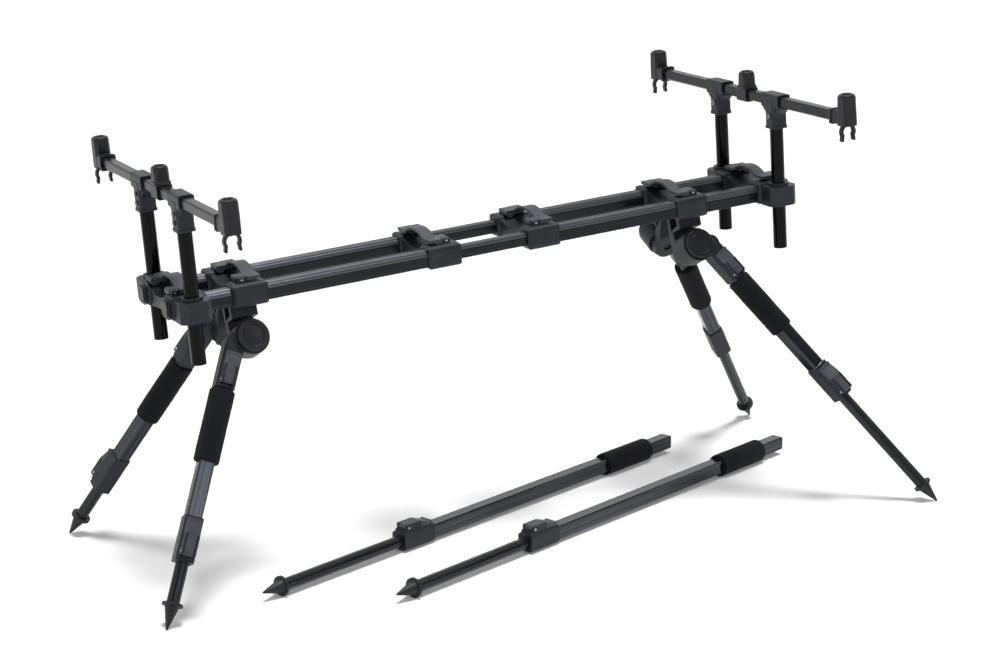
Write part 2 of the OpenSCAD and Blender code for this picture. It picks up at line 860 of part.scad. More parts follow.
// Outer tube with the flip lock's box round its lower end
module tube_and_lock(top, lock) {
    tube_end = lock + lock_half_len - 6 - pin_gap;
    color("#4b4f54") difference() {
        translate([0, 0, top]) linear_extrude(tube_end - top) leg_outline(0);
        translate([0, 0, top - over]) cylinder(r = leg_bore_r, h = tube_end - top + 2 * over);
    }
    color("#33353b") difference() {
        union() {
            translate([(lock_face - lock_back) / 2, 0, lock - lock_half_len]) linear_extrude(2 * lock_half_len)
                chamfered(lock_face + lock_back, 2 * lock_half_y, 2.5);
            flip_cheeks(lock_face, lock + lock_pivot, lock_stem, lock_tall);
        }
        translate([0, 0, lock - lock_half_len - over]) linear_extrude(2 * lock_half_len - 6 + over)
            leg_outline(press_gap);
        translate([0, 0, lock]) cylinder(r = leg_bore_r, h = lock_half_len + over);
    }
}

module lock_lever(lock) {
    flip_lever(lock_face, lock + lock_pivot, lock_reach, lock_stem, lock_tall, lock_tip);
}

module grip(top, len) {
    color("#17181c") translate([0, 0, top]) difference() {
        cylinder(r = grip_r, h = len);
        translate([0, 0, -over]) linear_extrude(len + 2 * over) leg_outline(press_gap);
    }
}

// Fluted lower tube, and the foot: a spigot in the tube, a ring and a cone with a blunt tip
module lower_leg(tip, len) {
    tube_end = tip - foot_ring_at;
    tube_len = len - foot_ring_at;
    color("#1b1c1f") translate([0, 0, tip - len]) linear_extrude(tube_len - pin_gap) difference() {
        circle(lower_r);
        for (i = [0:5])
            rotate(i * 60 + 30) translate([lower_r + flute_r - flute_depth, 0]) circle(flute_r);
        circle(lower_r - lower_wall);
    }
    color("#3c3d45") translate([0, 0, tube_end]) {
        translate([0, 0, -spigot_len]) cylinder(r = lower_r - lower_wall - press_gap, h = spigot_len + over);
        cylinder(r = foot_ring_r, h = foot_ring_t);
        translate([0, 0, foot_ring_t])
            cylinder(r1 = cone_r, r2 = tip_r, h = foot_ring_at - foot_ring_t - tip_r);
        translate([0, 0, foot_ring_at - tip_r]) sphere(tip_r);
    }
}

module leg_tube(end, side) {
    on_leg(end, side) translate([0, 0, out_of(end, side)]) rotate([0, 0, 90])
        tube_and_lock(tube_top, lock_z);
}

module leg_grip(end, side) {
    on_leg(end, side) grip(grip_top + out_of(end, side), grip_len);
}

module leg_lock_lever(end, side) {
    on_leg(end, side) rotate([0, 0, 90]) lock_lever(lock_z + out_of(end, side));
}

module leg_lower(end, side) {
    on_leg(end, side) lower_leg(len_of(end), lower_len);
}

// Spare legs on the floor

module spare_tube(tip) {
    on_spare(tip) tube_and_lock(0, spare_lock_z);
}

module spare_grip(tip) {
    on_spare(tip) grip(spare_stub, spare_grip_len);
}

module spare_lock_lever(tip) {
    on_spare(tip) lock_lever(spare_lock_z);
}

module spare_lower(tip) {
    on_spare(tip) lower_leg(spare_len, spare_lower_len);
}

rear_rails();
centre_rails();
front_rails();
rear_end_block();
rear_leg_head();
rear_mid_clamp();
front_mid_clamp();
front_leg_head();
front_end_block();
rear_end_lever();
rear_head_lever();
rear_mid_lever();
front_mid_lever();
front_head_lever();
front_end_lever();
rear_rail_plugs();
front_rail_plugs();
rear_hub_discs();
front_hub_discs();
rear_bar();
rear_uprights();
rear_bar_tees();
rear_alarm_sockets();
front_bar();
front_uprights();
front_bar_tees();
front_alarm_sockets();
knuckle(-1, -1);  // rear_right_knuckle
latch(-1, -1);  // rear_right_latch
leg_tube(-1, -1);  // rear_right_leg_tube
leg_grip(-1, -1);  // rear_right_grip
leg_lock_lever(-1, -1);  // rear_right_lock_lever
leg_lower(-1, -1);  // rear_right_lower_leg
knuckle(-1, 1);  // rear_left_knuckle
latch(-1, 1);  // rear_left_latch
leg_tube(-1, 1);  // rear_left_leg_tube
leg_grip(-1, 1);  // rear_left_grip
leg_lock_lever(-1, 1);  // rear_left_lock_lever
leg_lower(-1, 1);  // rear_left_lower_leg
knuckle(1, -1);  // front_right_knuckle
latch(1, -1);  // front_right_latch
leg_tube(1, -1);  // front_right_leg_tube
leg_grip(1, -1);  // front_right_grip
leg_lock_lever(1, -1);  // front_right_lock_lever
leg_lower(1, -1);  // front_right_lower_leg
knuckle(1, 1);  // front_left_knuckle
latch(1, 1);  // front_left_latch
leg_tube(1, 1);  // front_left_leg_tube
leg_grip(1, 1);  // front_left_grip
leg_lock_lever(1, 1);  // front_left_lock_lever
leg_lower(1, 1);  // front_left_lower_leg
spare_tube(spare_a);  // spare_a_leg_tube
spare_grip(spare_a);  // spare_a_grip
spare_lock_lever(spare_a);  // spare_a_lock_lever
spare_lower(spare_a);  // spare_a_lower_leg
spare_tube(spare_b);  // spare_b_leg_tube
spare_grip(spare_b);  // spare_b_grip
spare_lock_lever(spare_b);  // spare_b_lock_lever
spare_lower(spare_b);  // spare_b_lower_leg
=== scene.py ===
import json
from math import radians

import bpy
import numpy as np
from mathutils import Matrix, Vector


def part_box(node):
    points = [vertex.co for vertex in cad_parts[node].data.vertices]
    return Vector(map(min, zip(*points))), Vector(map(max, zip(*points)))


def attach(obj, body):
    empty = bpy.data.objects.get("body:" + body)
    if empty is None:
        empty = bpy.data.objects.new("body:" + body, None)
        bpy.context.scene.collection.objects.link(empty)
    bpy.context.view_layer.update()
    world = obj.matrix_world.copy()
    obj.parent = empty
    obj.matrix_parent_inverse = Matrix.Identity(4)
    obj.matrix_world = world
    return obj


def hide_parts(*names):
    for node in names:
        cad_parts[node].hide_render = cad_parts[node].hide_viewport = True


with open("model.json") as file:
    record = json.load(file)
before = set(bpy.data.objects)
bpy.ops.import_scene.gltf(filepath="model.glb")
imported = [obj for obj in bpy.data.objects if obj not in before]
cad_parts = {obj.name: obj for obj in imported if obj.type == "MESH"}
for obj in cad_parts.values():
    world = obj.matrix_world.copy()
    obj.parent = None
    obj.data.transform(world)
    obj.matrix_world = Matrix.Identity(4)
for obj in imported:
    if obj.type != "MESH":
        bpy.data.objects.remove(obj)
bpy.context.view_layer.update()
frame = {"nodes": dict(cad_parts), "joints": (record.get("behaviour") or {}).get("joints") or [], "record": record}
joints = {joint["name"]: joint for joint in frame["joints"]}
scene = bpy.context.scene
scene.view_settings.view_transform = "Standard"

# Stage: a white studio floor and backdrop, with one broad light overhead and two weak ones, in front and at the
# left. The floor is painted board, so it stays matt and keeps the shadows that the legs drop beside their feet.


def linear(hex_colour):
    """sRGB hex value to linear RGBA: c / 12.92 below 0.04045, else ((c + 0.055) / 1.055) ** 2.4."""
    srgb = np.array([int(hex_colour[i:i + 2], 16) for i in (1, 3, 5)]) / 255
    rgb = np.where(srgb <= 0.04045, srgb / 12.92, ((srgb + 0.055) / 1.055) ** 2.4)
    return (*rgb.tolist(), 1.0)


def add(tree, kind, settings, links):
    """Adds one node: settings are its own attributes, links are its inputs, each a value or an output."""
    node = tree.nodes.new(kind)
    for name, value in settings.items():
        setattr(node, name, value)
    for name, value in links.items():
        if isinstance(value, bpy.types.NodeSocket):
            tree.links.new(value, node.inputs[name])
        else:
            node.inputs[name].default_value = value
    return node


def new_mesh(name, points, *face_grids):
    """A mesh object at the origin, shaded smooth, from an array of points and arrays of faces, one to a row."""
    mesh = bpy.data.meshes.new(name)
    faces = [face for grid in face_grids for face in np.asarray(grid).tolist()]
    mesh.from_pydata(np.asarray(points).tolist(), [], faces)
    mesh.polygons.foreach_set("use_smooth", np.ones(len(mesh.polygons), bool))
    mesh.update()
    piece = bpy.data.objects.new(name, mesh)
    scene.collection.objects.link(piece)
    return piece


def new_material(name):
    """A material with an empty node tree, and the tree."""
    material = bpy.data.materials.new(name)
    material.use_nodes = True
    material.node_tree.nodes.clear()
    return material, material.node_tree


def background_rays(tree):
    """A factor that is 1 for rays that show the background: camera, glossy and transmission rays."""
    ray = add(tree, "ShaderNodeLightPath", {}, {})
    seen = add(tree, "ShaderNodeMath", {"operation": "ADD", "use_clamp": True},
               {0: ray.outputs["Is Camera Ray"], 1: ray.outputs["Is Glossy Ray"]})
    seen = add(tree, "ShaderNodeMath", {"operation": "ADD", "use_clamp": True},
               {0: seen.outputs[0], 1: ray.outputs["Is Transmission Ray"]})
    return seen.outputs[0]


floor_reach, board_glow = 15.0, 0.1
floor_corners = np.array([[-1, -1, 0], [1, -1, 0], [1, 1, 0], [-1, 1, 0]]) * floor_reach
floor = new_mesh("studio_floor", floor_corners, [[0, 1, 2, 3]])
floor_paint, tree = new_material("matt white painted board")
share = add(tree, "ShaderNodeMath", {"operation": "MULTIPLY"}, {0: background_rays(tree), 1: board_glow})
paint = add(tree, "ShaderNodeBsdfDiffuse", {}, {"Color": linear("#f8f8f8")})
glow = add(tree, "ShaderNodeEmission", {}, {"Color": linear("#ffffff"), "Strength": 1.0})
blend = add(tree, "ShaderNodeMixShader", {}, {0: share.outputs[0], 1: paint.outputs[0], 2: glow.outputs[0]})
add(tree, "ShaderNodeOutputMaterial", {}, {"Surface": blend.outputs[0]})
floor.data.materials.append(floor_paint)

world = bpy.data.worlds.new("white studio")
scene.world = world
world.use_nodes = True
tree = world.node_tree
tree.nodes.clear()
room_light, near_side_light = 0.36, 0.2
direction = add(tree, "ShaderNodeTexCoord", {}, {})
depth = add(tree, "ShaderNodeSeparateXYZ", {}, {0: direction.outputs["Generated"]})
wall = add(tree, "ShaderNodeMapRange", {}, {
    "Value": depth.outputs["Y"], "From Min": -0.35, "From Max": 0.15,
    "To Min": near_side_light, "To Max": 1.0})
camera_ray = add(tree, "ShaderNodeLightPath", {}, {})
seen_wall = add(tree, "ShaderNodeMath", {"operation": "MAXIMUM"},
                {0: wall.outputs[0], 1: camera_ray.outputs["Is Camera Ray"]})
ambient = add(tree, "ShaderNodeBackground", {}, {"Color": linear("#ffffff"), "Strength": room_light})
backdrop = add(tree, "ShaderNodeBackground", {},
               {"Color": linear("#ffffff"), "Strength": seen_wall.outputs[0]})
sky = add(tree, "ShaderNodeMixShader", {},
          {0: background_rays(tree), 1: ambient.outputs[0], 2: backdrop.outputs[0]})
add(tree, "ShaderNodeOutputWorld", {}, {"Surface": sky.outputs[0]})


def soft_light(name, place, target, width, height, watts):
    """A rectangular area light at place, turned to face target."""
    lamp = bpy.data.lights.new(name, "AREA")
    lamp.shape = "RECTANGLE"
    lamp.size, lamp.size_y, lamp.energy = width, height, watts
    holder = bpy.data.objects.new(name, lamp)
    holder.matrix_world = Matrix.Translation(place) @ (
        Vector(place) - Vector(target)).to_track_quat("Z", "Y").to_matrix().to_4x4()
    scene.collection.objects.link(holder)


overhead_strength, overhead_spread, overhead_tilt = 2.85, radians(17), (radians(4), radians(3), 0)
overhead = bpy.data.lights.new("overhead_softbox", "SUN")
overhead.energy, overhead.angle = overhead_strength, overhead_spread
overhead_holder = bpy.data.objects.new("overhead_softbox", overhead)
overhead_holder.rotation_euler = overhead_tilt
scene.collection.objects.link(overhead_holder)
soft_light("near_softbox", place=(0.0, -2.3, 1.5), target=(-0.3, -0.1, 0.2), width=0.9, height=0.6, watts=7)
soft_light("left_strip", place=(-2.4, -0.9, 1.0), target=(0, 0, 0.3), width=0.25, height=1.4, watts=6)

# Camera: a long lens at standing height, left of the near side and looking a little down.
# Its place and lens were fitted to the feet, the hubs, the sockets and the rail ends in the photograph.
camera_dip, camera_turn = 14.795, -27.454
camera_data = bpy.data.cameras.new("studio_camera")
camera_data.sensor_width = 36.0
camera_data.lens = 82.16
camera = bpy.data.objects.new("studio_camera", camera_data)
camera.location = (-1.1909, -2.2792, 0.8960)
camera.rotation_euler = (radians(90 - camera_dip), 0, radians(camera_turn))
scene.collection.objects.link(camera)
scene.camera = camera

# Rails: aluminium tubes, extruded, black anodised and left bright, with a ribbed shoulder, two ridges on top and
# a ledge below. The thinner centre rails have the same section and slide inside the outer ones.
# The die leaves fine lines along the tube, which break the highlight into thin streaks.

up = Vector(joints["rear_bar_height"]["axis"])
along = Vector((up.z, 0, -up.x))
rail_ledge, rail_ledge_rise, ridge_rise, ridge_inner_share, ridge_round = 0.0008, 0.0022, 0.0009, 0.13, 0.0004
shoulder_start, shoulder_bend, rib_pitch, rib_depth = 0.0006, 0.009, 0.0024, 0.00016
# The second metallic value is for the full painted highlight on the rails' shoulder.
rail_metal, shoulder_highlight_metal, sharpest_smooth_turn = 0.3, 0.9, radians(28)


def frame_rows(x_axis, z_axis):
    """Rotation from the world to axes along x_axis, y = z cross x, and z_axis."""
    z = Vector(z_axis).normalized()
    x = Vector(x_axis).normalized()
    y = z.cross(x).normalized()
    return Matrix((x, y, z))


def placed_coordinates(tree, rows, origin):
    """Object coordinates turned into the axes of rows, with the zero at origin, in metres."""
    place = add(tree, "ShaderNodeTexCoord", {}, {})
    return add(tree, "ShaderNodeMapping", {"vector_type": "POINT"}, {
        "Vector": place.outputs["Object"], "Location": -(rows @ Vector(origin)),
        "Rotation": rows.to_euler("XYZ")})


def dress(node, material):
    """Gives a CAD node this one material."""
    frame["nodes"][node].data.materials.clear()
    frame["nodes"][node].data.materials.append(material)


def rounded_edges(tree, radius_mm):
    """A normal that is softened within radius_mm of each edge, and a mask that is 1 on the softened edges."""
    soft = add(tree, "ShaderNodeBevel", {"samples": 6}, {"Radius": radius_mm / 1000})
    true = add(tree, "ShaderNodeNewGeometry", {}, {})
    same = add(tree, "ShaderNodeVectorMath", {"operation": "DOT_PRODUCT"},
               {0: soft.outputs[0], 1: true.outputs["Normal"]})
    edge = add(tree, "ShaderNodeMapRange", {}, {
        "Value": same.outputs["Value"], "From Min": 1.0, "From Max": 0.86, "To Min": 0.0, "To Max": 1.0})
    return soft.outputs[0], edge.outputs[0]


def extruded_anodised(name, dark, light, edge_highlight, rough, metal, rows, streak_mm=0.9, length_mm=160, shine=0.25):
    """Anodised tube: die lines about streak_mm wide and length_mm long run along the z of rows, over clouds of
    about 29 mm. Sharp edges get a painted highlight, fine lines in the third colour."""
    material, tree = new_material(name)
    where = placed_coordinates(tree, rows, (0, 0, 0))
    drawn = add(tree, "ShaderNodeMapping", {"vector_type": "POINT"}, {
        "Vector": where.outputs[0], "Scale": (1000 / streak_mm, 1000 / streak_mm, 1000 / length_mm)})
    lines = add(tree, "ShaderNodeTexNoise", {}, {"Vector": drawn.outputs[0], "Scale": 1.0, "Detail": 3.0})
    cloud = add(tree, "ShaderNodeTexNoise", {}, {"Vector": where.outputs[0], "Scale": 35.0, "Detail": 4.0})
    tone = add(tree, "ShaderNodeMath", {"operation": "MULTIPLY"}, {0: lines.outputs[0], 1: cloud.outputs[0]})
    spread = add(tree, "ShaderNodeMapRange", {}, {
        "Value": tone.outputs[0], "From Min": 0.12, "From Max": 0.42, "To Min": 0.0, "To Max": 1.0})
    colour = add(tree, "ShaderNodeMix", {"data_type": "RGBA"},
                 {0: spread.outputs[0], 6: linear(dark), 7: linear(light)})
    gloss = add(tree, "ShaderNodeMapRange", {}, {
        "Value": lines.outputs[0], "From Min": 0.3, "From Max": 0.7,
        "To Min": rough - 0.05, "To Max": rough + 0.07})
    soft, edge = rounded_edges(tree, radius_mm=0.6)
    # Painted highlight: the edge mask turns the colour to the third colour along sharp edges.
    colour = add(tree, "ShaderNodeMix", {"data_type": "RGBA"},
                 {0: edge, 6: colour.outputs[2], 7: linear(edge_highlight)})
    scored = add(tree, "ShaderNodeBump", {}, {
        "Strength": 0.25, "Distance": 0.00002, "Height": lines.outputs[0], "Normal": soft})
    shader = add(tree, "ShaderNodeBsdfPrincipled", {}, {
        "Base Color": colour.outputs[2], "Metallic": metal, "Roughness": gloss.outputs[0],
        "Specular IOR Level": shine, "Normal": scored.outputs[0]})
    add(tree, "ShaderNodeOutputMaterial", {}, {"Surface": shader.outputs[0]})
    return material


def ribbed_rail(name, rows, axis_level):
    """The anodised tube, with a painted highlight: the ribbed shoulder is painted lighter and more metallic
    than the flat side. The ribs' crests, sin(2 pi t / rib_pitch) with t above shoulder_start, get most."""
    material = extruded_anodised(name, "#0d0e12", "#1d1f24", "#6a6c74", 0.22, rail_metal, rows)
    tree = material.node_tree
    shader = next(node for node in tree.nodes if node.type == "BSDF_PRINCIPLED")
    place = placed_coordinates(tree, rows, up * (axis_level + shoulder_start))
    where = add(tree, "ShaderNodeSeparateXYZ", {}, {0: place.outputs[0]})
    turn = add(tree, "ShaderNodeMath", {"operation": "MULTIPLY"},
               {0: where.outputs["X"], 1: 2 * np.pi / rib_pitch})
    wave = add(tree, "ShaderNodeMath", {"operation": "SINE"}, {0: turn.outputs[0]})
    # Painted highlight: the shoulder is painted lighter from 1.2 to 3.2 mm above shoulder_start, most on the rib
    # crests.
    shoulder_highlight = add(tree, "ShaderNodeMapRange", {}, {
        "Value": where.outputs["X"], "From Min": 0.0012, "From Max": 0.0032, "To Min": 0.0, "To Max": 0.75})
    crest_highlight = add(tree, "ShaderNodeMapRange", {}, {
        "Value": wave.outputs[0], "From Min": -1.0, "From Max": 1.0, "To Min": 0.35, "To Max": 1.0})
    # share is the painted highlight's mask, for the colour and for the metallic.
    share = add(tree, "ShaderNodeMath", {"operation": "MULTIPLY"},
                {0: shoulder_highlight.outputs[0], 1: crest_highlight.outputs[0]})
    colour = add(tree, "ShaderNodeMix", {"data_type": "RGBA"}, {
        0: share.outputs[0], 6: shader.inputs["Base Color"].links[0].from_socket, 7: linear("#7b7d84")})
    tree.links.new(colour.outputs[2], shader.inputs["Base Color"])
    metal = add(tree, "ShaderNodeMapRange", {}, {
        "Value": share.outputs[0], "From Min": 0.0, "From Max": 1.0,
        "To Min": rail_metal, "To Max": shoulder_highlight_metal})
    tree.links.new(metal.outputs[0], shader.inputs["Metallic"])
    return material


def rail_section(half_width, half_height, rib, steps=60):
    """The die's opening, from the ledge up and over: at t above shoulder_start the side leans in by
    t^2 / (2 shoulder_bend), with ribs of rib sin(2 pi t / rib_pitch) along its normal (1, t / shoulder_bend)."""
    t = np.linspace(0, half_height - ridge_round - shoulder_start, steps)
    slope = t / shoulder_bend
    face = half_width - rail_ledge
    fade_in = np.clip(2 * t / rib_pitch, 0, 1)
    rise = rib * np.sin(2 * np.pi * t / rib_pitch) * fade_in / np.sqrt(1 + slope ** 2)
    shoulder = np.stack([face - t * slope / 2 + rise, shoulder_start + t + rise * slope], axis=1)
    ledge = [[half_width, -half_height], [half_width, rail_ledge_rise - half_height],
             [face, rail_ledge_rise + rail_ledge - half_height]]
    inner = 2 * ridge_inner_share * half_width
    ridge = [[shoulder[-1, 0] - ridge_round, half_height], [inner, half_height],
             [inner - ridge_rise, half_height - ridge_rise]]
    half = np.vstack([ledge, shoulder, ridge])
    return np.vstack([half, half[::-1] * (-1, 1)])


def closed_quads(rings, points):
    """Quads of a grid that closes on itself both ways, as the skin of a tube with a bore does."""
    index = np.arange(rings * points).reshape(rings, points)
    on, after = np.roll(index, -1, axis=0), np.roll(index, -1, axis=1)
    return np.stack([index, after, np.roll(on, -1, axis=1), on], axis=-1).reshape(-1, 4)


def copied(faces, copies, points):
    """The faces of one form, repeated for copies of it that have this many points each."""
    return (faces + points * np.arange(copies)[:, None, None]).reshape(-1, faces.shape[1])


def rail_pair(name, node, wall):
    """Two extruded tubes where the node's are: the section outside, and a bore that lies wall inside it, joined
    by end rings into one closed skin for each tube."""
    corners = np.array([corner.co for corner in frame["nodes"][node].data.vertices])
    reach, level, across = corners @ np.array(along), corners @ np.array(up), np.abs(corners[:, 1])
    half_width, half_height = np.ptp(across) / 2, np.ptp(level) / 2
    axis_level, axis_across = level.min() + half_height, across.min() + half_width
    outline = rail_section(half_width, half_height, rib_depth)
    plain = rail_section(half_width, half_height, 0)
    size, rise = np.abs(plain[:, 0]), plain[:, 1]
    face, ceiling = half_width - rail_ledge, half_height - ridge_rise - wall
    thinned = 1 - wall / (face - (ceiling - shoulder_start) ** 2 / (2 * shoulder_bend))
    bore_x = np.where(rise < ceiling, np.minimum(size - wall, face - wall), size * thinned)
    bore_y = np.where(rise < 0, rise * ceiling / half_height, np.minimum(rise, ceiling))
    bore = np.stack([bore_x * np.sign(plain[:, 0]), bore_y], axis=1)
    rings = np.stack([outline, outline, bore, bore])
    ends = np.array([reach.min(), reach.max(), reach.max(), reach.min()])[:, None, None]
    tubes = [ends * np.array(along) + (rings[..., :1] + hand * axis_across) * np.array([0, 1, 0])
             + (rings[..., 1:] + axis_level) * np.array(up) for hand in (-1, 1)]
    points = np.vstack([tube.reshape(-1, 3) for tube in tubes])
    piece = new_mesh(name, points, copied(closed_quads(*rings.shape[:2]), 2, len(points) // 2))
    piece.data.set_sharp_from_angle(angle=sharpest_smooth_turn)
    return piece


rail_levels = [corner.co.dot(up) for corner in frame["nodes"]["rear_rails"].data.vertices]
rail_finish = ribbed_rail("black anodised ribbed aluminium", frame_rows(up, along),
                          (min(rail_levels) + max(rail_levels)) / 2)
for section, wall in (("rear", 0.0012), ("centre", 0.0015), ("front", 0.0012)):
    rails = rail_pair(section + "_ribbed_rails", section + "_rails", wall)
    rails.data.materials.append(rail_finish)
    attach(rails, section + "_section")
    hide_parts(section + "_rails")

# Clamp bodies, leg heads, tees and knuckles: glass-filled nylon, injection moulded in spark-eroded tools.
# The tool leaves a fine even grain, so the plastic is satin, and its edges are a shade lighter from handling.


def grained_nylon(name, colour, worn, rough, grain_mm=0.55):
    """Moulded plastic: grain of about grain_mm in the bump, faint flow clouds of about 18 mm in the colour,
    and lighter edges."""
    material, tree = new_material(name)
    place = add(tree, "ShaderNodeTexCoord", {}, {})
    grain = add(tree, "ShaderNodeTexNoise", {}, {
        "Vector": place.outputs["Object"], "Scale": 1000 / grain_mm, "Detail": 2.0, "Roughness": 0.6})
    flow = add(tree, "ShaderNodeTexNoise", {}, {
        "Vector": place.outputs["Object"], "Scale": 55.0, "Detail": 5.0, "Roughness": 0.55})
    soft, edge = rounded_edges(tree, radius_mm=0.8)
    shade = add(tree, "ShaderNodeMapRange", {}, {
        "Value": flow.outputs[0], "From Min": 0.3, "From Max": 0.7, "To Min": 0.0, "To Max": 0.3})
    wear = add(tree, "ShaderNodeMath", {"operation": "MULTIPLY_ADD", "use_clamp": True},
               {0: edge, 1: 0.55, 2: shade.outputs[0]})
    tint = add(tree, "ShaderNodeMix", {"data_type": "RGBA"},
               {0: wear.outputs[0], 6: linear(colour), 7: linear(worn)})
    satin = add(tree, "ShaderNodeMapRange", {}, {
        "Value": grain.outputs[0], "From Min": 0.3, "From Max": 0.7,
        "To Min": rough - 0.06, "To Max": rough + 0.08})
    bumps = add(tree, "ShaderNodeBump", {}, {
        "Strength": 0.3, "Distance": 0.00005, "Height": grain.outputs[0], "Normal": soft})
    shader = add(tree, "ShaderNodeBsdfPrincipled", {}, {
        "Base Color": tint.outputs[2], "Roughness": satin.outputs[0], "Specular IOR Level": 0.28,
        "Normal": bumps.outputs[0]})
    add(tree, "ShaderNodeOutputMaterial", {}, {"Surface": shader.outputs[0]})
    return material


slate_nylon = grained_nylon("slate grey grained nylon", "#171920", "#383b45", 0.44)
for node in ("rear_end_block", "rear_leg_head", "rear_mid_clamp", "front_mid_clamp", "front_leg_head",
             "front_end_block", "rear_bar_tees", "front_bar_tees"):
    dress(node, slate_nylon)

# Cam levers: two arms and an arched plate, moulded in one piece in the same nylon.
# They are a little lighter and duller than the clamps.
lever_nylon = grained_nylon("lighter grey grained nylon", "#34363d", "#5e6068", 0.46)
levers = ("rear_end", "rear_head", "rear_mid", "front_mid", "front_head", "front_end")
for lever in levers:
    dress(lever + "_lever", lever_nylon)

# Lever pins: steel dowels, cut and ground with a domed end, pressed through the lugs of each clamp.
# Only their bright ends show, on both sides of the clamp.
pin_radius, pin_dome, pin_seat, lug_face = 0.0015, 0.0004, 0.0003, 0.0418


def square_axes(axis):
    """Three unit vectors at right angles: two across the axis, and the axis."""
    axis = Vector(axis).normalized()
    across = np.array(axis.orthogonal().normalized())
    return across, np.cross(np.array(axis), across), np.array(axis)


def capped_skin(rings, spokes):
    """Faces of a closed round skin: quads between its rings, and fans from the first and the last ring to a top
    point and a foot point, which follow the rings."""
    index = np.arange(rings * spokes).reshape(rings, spokes)
    after = np.roll(index, -1, axis=1)
    top = np.full(spokes, index.size)
    quads = np.stack([index[:-1], index[1:], after[1:], after[:-1]], axis=-1).reshape(-1, 4)
    fans = np.vstack([np.stack([top, index[0], after[0]], axis=-1),
                      np.stack([top + 1, after[-1], index[-1]], axis=-1)])
    return quads, fans


def domed_ends(name, centres, axes, radius, height, rings=6, sides=20):
    """Domed discs: radius r = R sin(t), height h = H cos(t), t from 0 to 90 degrees, turned about each axis, on a
    short wall that is let in by pin_seat."""
    t = np.linspace(0, np.pi / 2, rings)[1:, None, None]
    turn = np.linspace(0, 2 * np.pi, sides, endpoint=False)[:, None]
    heads = []
    for centre, direction in zip(np.array(centres), axes):
        across, other, axis = square_axes(direction)
        ring = across * np.cos(turn) + other * np.sin(turn)
        dome = centre + axis * height * np.cos(t) + ring * radius * np.sin(t)
        base = centre - axis * pin_seat
        heads.append(np.vstack([dome.reshape(-1, 3), base + ring * radius, centre + axis * height, base]))
    faces = [copied(part, len(heads), len(heads[0])) for part in capped_skin(rings, sides)]
    return new_mesh(name, np.vstack(heads), *faces)


def ground_steel(name, colour, rough, scratch_mm=0.35):
    """Ground steel: fine scratches of about scratch_mm in its gloss."""
    material, tree = new_material(name)
    place = add(tree, "ShaderNodeTexCoord", {}, {})
    scratch = add(tree, "ShaderNodeTexNoise", {}, {
        "Vector": place.outputs["Object"], "Scale": 1000 / scratch_mm, "Detail": 3.0})
    gloss = add(tree, "ShaderNodeMapRange", {}, {
        "Value": scratch.outputs[0], "From Min": 0.3, "From Max": 0.7,
        "To Min": rough - 0.06, "To Max": rough + 0.1})
    tint = add(tree, "ShaderNodeMix", {"data_type": "RGBA"},
               {0: scratch.outputs[0], 6: linear(colour), 7: linear("#8f9194")})
    shader = add(tree, "ShaderNodeBsdfPrincipled", {}, {
        "Base Color": tint.outputs[2], "Metallic": 1.0, "Roughness": gloss.outputs[0]})
    add(tree, "ShaderNodeOutputMaterial", {}, {"Surface": shader.outputs[0]})
    return material


pin_steel = ground_steel("ground dowel steel", "#d4d6d8", 0.24)
for lever in levers:
    pivot = np.array(joints[lever + "_lever_pivot"]["pos_m"])
    ends = [pivot + np.array([0, side * lug_face, 0]) for side in (-1, 1)]
    pins = domed_ends(lever + "_pin_ends", ends, [(0, -1, 0), (0, 1, 0)], pin_radius, pin_dome)
    pins.data.materials.append(pin_steel)
    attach(pins, lever + "_lever")

# Tee screws: pan-head screws with a cross recess, black zinc on steel, driven into the rear face of each tee.
# The rear tees take two small ones, the front tees one larger one.
socket_rise, tee_half_spacing, tee_face = 0.0204, 0.0600, 0.0097
head_wall, head_dome = 0.0015, 0.0007
recess_half, recess_reach, recess_depth, recess_draft, recess_end_draft = 0.16, 0.6, 0.0006, 0.05, 0.08
screw_rows = {"rear": {"drops": (0.013, 0.023), "radius": 0.00275},
              "front": {"drops": (0.018,), "radius": 0.00375}}


def pan_heads(name, centres, axis, side, radius, rings=22, spokes=72):
    """Pan heads: a wall of height W, and over it the dome W + D (1 - r^4), where r is the share of the radius.
    The cross recess is cut where |x| or |y| is under recess_half, out to recess_reach of the radius."""
    innermost = 0.05
    r = np.append(np.linspace(innermost, 1, rings - 1), 1)[:, None]
    turn = np.linspace(0, 2 * np.pi, spokes, endpoint=False)
    x, y = r * np.cos(turn), r * np.sin(turn)
    arms = [np.clip((recess_half - np.abs(a)) / recess_draft, 0, 1)
            * np.clip((recess_reach - np.abs(b)) / recess_end_draft, 0, 1) for a, b in ((x, y), (y, x))]
    height = head_wall + head_dome * (1 - r ** 4) - recess_depth * np.maximum(*arms)
    height[-1] = 0
    axis, side = np.array(axis), np.array(side)
    other = np.cross(axis, side)
    skin = height[..., None] * axis + radius * (x[..., None] * side + y[..., None] * other)
    middle = axis * (head_wall + head_dome - recess_depth)
    head = np.vstack([skin.reshape(-1, 3), middle, np.zeros(3)])
    points = np.vstack([head + np.array(centre) for centre in centres])
    faces = [copied(part, len(centres), len(head)) for part in capped_skin(rings, spokes)]
    return new_mesh(name, points, *faces)


screw_zinc = ground_steel("black zinc on steel", "#3a3b3e", 0.34, scratch_mm=0.5)
mounts = {mount["name"]: mount for mount in frame["record"]["mounts"]}
for bar, row in screw_rows.items():
    bar_middle = Vector(mounts[bar + "_centre_alarm_socket"]["pos_m"]) - up * socket_rise
    heads = [bar_middle + Vector((0, tee_half_spacing * hand, 0)) - along * tee_face - up * drop
             for hand in (-1, 1) for drop in row["drops"]]
    screws = pan_heads(bar + "_tee_screw_heads", heads, -along, (0, 1, 0), row["radius"])
    screws.data.materials.append(screw_zinc)
    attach(screws, bar + "_bar_set")

